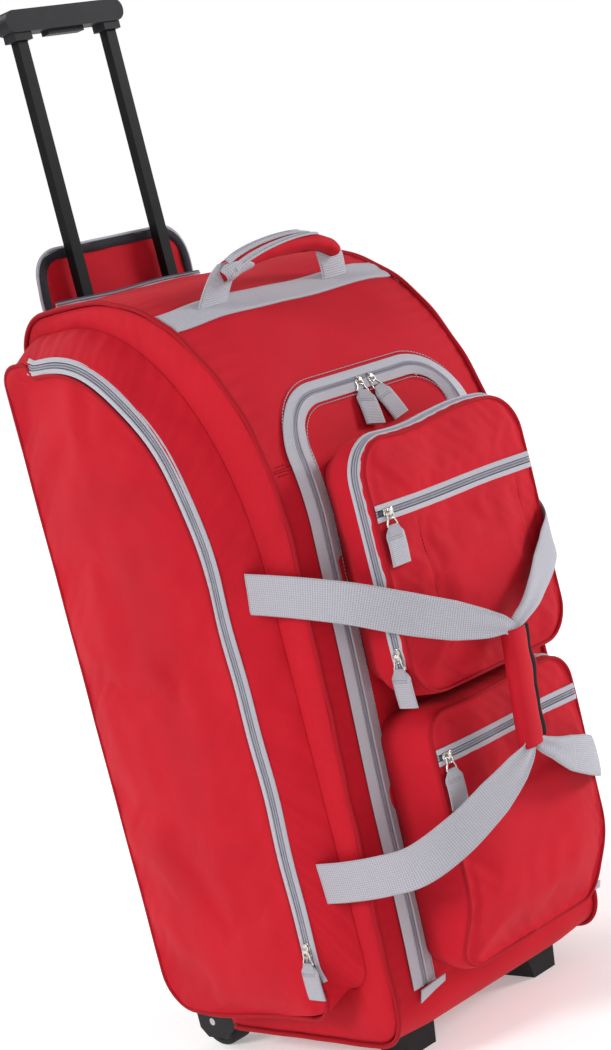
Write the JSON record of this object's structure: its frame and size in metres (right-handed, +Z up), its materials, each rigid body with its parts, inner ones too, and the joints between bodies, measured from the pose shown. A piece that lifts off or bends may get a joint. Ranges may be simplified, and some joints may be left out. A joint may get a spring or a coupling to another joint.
{
  "type": "rolling duffel bag",
  "caption": "Tall two-wheeled fabric duffel with a telescopic trolley handle, a hinged front lid with two zip pockets, side pockets, top carry handle and haul loops.",
  "frame": {"origin": "on the floor, at the middle of the bag's width and of its depth from the haul grip's front to the tyres' back, with the trolley handle pulled out", "axes": "+Z up, -Y out of the front lid, +X across the bag towards the side pocket on the right hand of a viewer who faces the lid"},
  "size_m": [0.3884, 0.4515, 1.097],
  "materials": {
    "body_fabric": "woven 600-denier polyester, crimson red",
    "bottom_fabric": "woven polyester, darker red",
    "piping": "red piping cord with a bound seam",
    "board": "stiff polyethylene board",
    "zip_tape": "light grey zip tape with a darker coil",
    "webbing": "light grey ribbed webbing",
    "grip_fabric": "padded red fabric",
    "pull_tab": "grey webbing tab on a wire ring",
    "slider_metal": "nickel-plated zinc",
    "black_tube": "black anodised tube",
    "grip_plastic": "charcoal moulded plastic",
    "black_plastic": "black moulded plastic",
    "wheel_plastic": "dark moulded plastic",
    "tyre_rubber": "matt black polyurethane",
    "steel": "plated steel"
  },
  "bodies": {
    "bag": {"side_panel_left": "body_fabric", "side_panel_right": "body_fabric", "top_gusset": "body_fabric", "front_border": "body_fabric", "back_panel": "body_fabric", "bottom_panel": "bottom_fabric", "back_board": "board", "base_board": "board", "piping": "piping", "main_zip_outer": "zip_tape", "side_pocket_left": "body_fabric", "side_pocket_right": "body_fabric", "side_zip_left": "zip_tape", "side_zip_right": "zip_tape", "top_strap": "webbing", "rails": "black_tube", "handle_bezel": "black_plastic", "lower_bracket": "black_plastic", "wheel_housing_left": "black_plastic", "wheel_housing_right": "black_plastic", "axles": "steel", "feet": "black_plastic", "screws": "steel"},
    "lid": {"lid_panel": "body_fabric", "main_zip_inner": "zip_tape", "upper_pocket": "body_fabric", "upper_side_zip": "zip_tape", "upper_front_zip": "zip_tape", "lower_pocket": "body_fabric", "lower_front_zip": "zip_tape"},
    "haul_loop_left": {"haul_strap_left": "webbing", "haul_wrap": "grip_fabric"},
    "haul_loop_right": {"haul_strap_right": "webbing"},
    "carry_handle": {"carry_strap": "webbing", "carry_grip": "grip_fabric"},
    "cover_flap": {"cover_flap": "body_fabric"},
    "trolley_handle": {"inner_tubes": "black_tube", "grip": "grip_plastic", "trigger_spring": "steel"},
    "release_trigger": {"trigger": "black_plastic"},
    "lock_pin_left": {"lock_pin_left": "steel"},
    "lock_pin_right": {"lock_pin_right": "steel"},
    "wheel_left": {"wheel_left": "wheel_plastic", "tyre_left": "tyre_rubber"},
    "wheel_right": {"wheel_right": "wheel_plastic", "tyre_right": "tyre_rubber"},
    "main_slider_left": {"main_slider_left": "slider_metal"},
    "main_slider_right": {"main_slider_right": "slider_metal"},
    "upper_side_slider": {"upper_side_slider": "slider_metal"},
    "upper_front_slider": {"upper_front_slider": "slider_metal"},
    "lower_front_slider": {"lower_front_slider": "slider_metal"},
    "side_slider_left": {"side_slider_left": "slider_metal"},
    "side_slider_right": {"side_slider_right": "slider_metal"},
    "main_pull_left": {"main_pull_left": "pull_tab"},
    "main_pull_right": {"main_pull_right": "pull_tab"},
    "upper_side_pull": {"upper_side_pull": "pull_tab"},
    "upper_front_pull": {"upper_front_pull": "pull_tab"},
    "lower_front_pull": {"lower_front_pull": "pull_tab"},
    "side_pull_left": {"side_pull_left": "pull_tab"},
    "side_pull_right": {"side_pull_right": "pull_tab"}
  },
  "joints": [
    {"name": "lid_open", "type": "hinge", "parent": "bag", "child": "lid", "pos_m": [0, -0.09375, 0.078], "axis": [1, 0, 0], "range_deg": [0, 78], "deforming": ["haul_strap_left", "haul_strap_right", "haul_wrap"]},
    {"name": "haul_swing_left", "type": "hinge", "parent": "bag", "child": "haul_loop_left", "pos_m": [-0.171, -0.0522, 0.34], "axis": [0, 0, 1], "range_deg": [-90, 0]},
    {"name": "haul_swing_right", "type": "hinge", "parent": "bag", "child": "haul_loop_right", "pos_m": [0.171, -0.0522, 0.34], "axis": [0, 0, 1], "range_deg": [0, 90]},
    {"name": "carry_fold", "type": "hinge", "parent": "bag", "child": "carry_handle", "pos_m": [0, -0.0112, 0.751], "axis": [1, 0, 0], "range_deg": [-38, 80]},
    {"name": "flap_fold", "type": "hinge", "parent": "bag", "child": "cover_flap", "pos_m": [0, 0.2228, 0.787], "axis": [1, 0, 0], "range_deg": [-150, 0]},
    {"name": "handle_slide", "type": "slide", "parent": "bag", "child": "trolley_handle", "axis": [0, 0, 1], "range_m": [-0.275, 0]},
    {"name": "trigger_press", "type": "slide", "parent": "trolley_handle", "child": "release_trigger", "axis": [0, 0, 1], "range_m": [0, 0.004], "stiffness_N_per_m": 300, "springref_m": -0.004, "deforming": ["trigger_spring"]},
    {"name": "lock_left", "type": "slide", "parent": "trolley_handle", "child": "lock_pin_left", "axis": [1, 0, 0], "range_m": [0, 0.003]},
    {"name": "lock_right", "type": "slide", "parent": "trolley_handle", "child": "lock_pin_right", "axis": [-1, 0, 0], "range_m": [0, 0.003]},
    {"name": "wheel_spin_left", "type": "hinge", "parent": "bag", "child": "wheel_left", "pos_m": [-0.132, 0.1958, 0.03], "axis": [1, 0, 0], "continuous": true},
    {"name": "wheel_spin_right", "type": "hinge", "parent": "bag", "child": "wheel_right", "pos_m": [0.132, 0.1958, 0.03], "axis": [1, 0, 0], "continuous": true},
    {"name": "main_slide_left", "type": "slide", "parent": "lid", "child": "main_slider_left", "axis": [-1, 0, 0], "range_m": [0, 0.045]},
    {"name": "main_slide_right", "type": "slide", "parent": "lid", "child": "main_slider_right", "axis": [1, 0, 0], "range_m": [0, 0.04]},
    {"name": "upper_side_slide", "type": "slide", "parent": "lid", "child": "upper_side_slider", "axis": [0, 0, 1], "range_m": [0, 0.15]},
    {"name": "upper_front_slide", "type": "slide", "parent": "lid", "child": "upper_front_slider", "axis": [1, 0, 0], "range_m": [0, 0.19]},
    {"name": "lower_front_slide", "type": "slide", "parent": "lid", "child": "lower_front_slider", "axis": [1, 0, 0], "range_m": [0, 0.18]},
    {"name": "side_slide_left", "type": "slide", "parent": "bag", "child": "side_slider_left", "axis": [0, 0, 1], "range_m": [0, 0.34]},
    {"name": "side_slide_right", "type": "slide", "parent": "bag", "child": "side_slider_right", "axis": [0, 0.3633, 0.9317], "range_m": [-0.012, 0.012]},
    {"name": "main_pull_swing_left", "type": "hinge", "parent": "main_slider_left", "child": "main_pull_left", "pos_m": [-0.002, -0.09429, 0.65376], "axis": [1, 0, 0], "range_deg": [-140, 0]},
    {"name": "main_pull_swing_right", "type": "hinge", "parent": "main_slider_right", "child": "main_pull_right", "pos_m": [0.014, -0.09429, 0.65376], "axis": [1, 0, 0], "range_deg": [-140, 0]},
    {"name": "upper_side_pull_swing", "type": "hinge", "parent": "upper_side_slider", "child": "upper_side_pull", "pos_m": [-0.1177, -0.1712, 0.406], "axis": [0, 1, 0], "range_deg": [0, 120]},
    {"name": "upper_front_pull_swing", "type": "hinge", "parent": "upper_front_slider", "child": "upper_front_pull", "pos_m": [-0.098, -0.1879, 0.537], "axis": [1, 0, 0], "range_deg": [-140, 0]},
    {"name": "lower_front_pull_swing", "type": "hinge", "parent": "lower_front_slider", "child": "lower_front_pull", "pos_m": [-0.094, -0.1819, 0.302], "axis": [1, 0, 0], "range_deg": [-140, 0]},
    {"name": "side_pull_swing_left", "type": "hinge", "parent": "side_slider_left", "child": "side_pull_left", "pos_m": [-0.1917, -0.0282, 0.14], "axis": [0, 1, 0], "range_deg": [0, 140]},
    {"name": "side_pull_swing_right", "type": "hinge", "parent": "side_slider_right", "child": "side_pull_right", "pos_m": [0.1917, -0.0072, 0.622], "axis": [0, 1, 0], "range_deg": [-140, 0]}
  ],
  "couplings": [
    {"joint": "lock_left", "follows": "trigger_press", "ratio": 0.75},
    {"joint": "lock_right", "follows": "trigger_press", "ratio": 0.75}
  ]
}
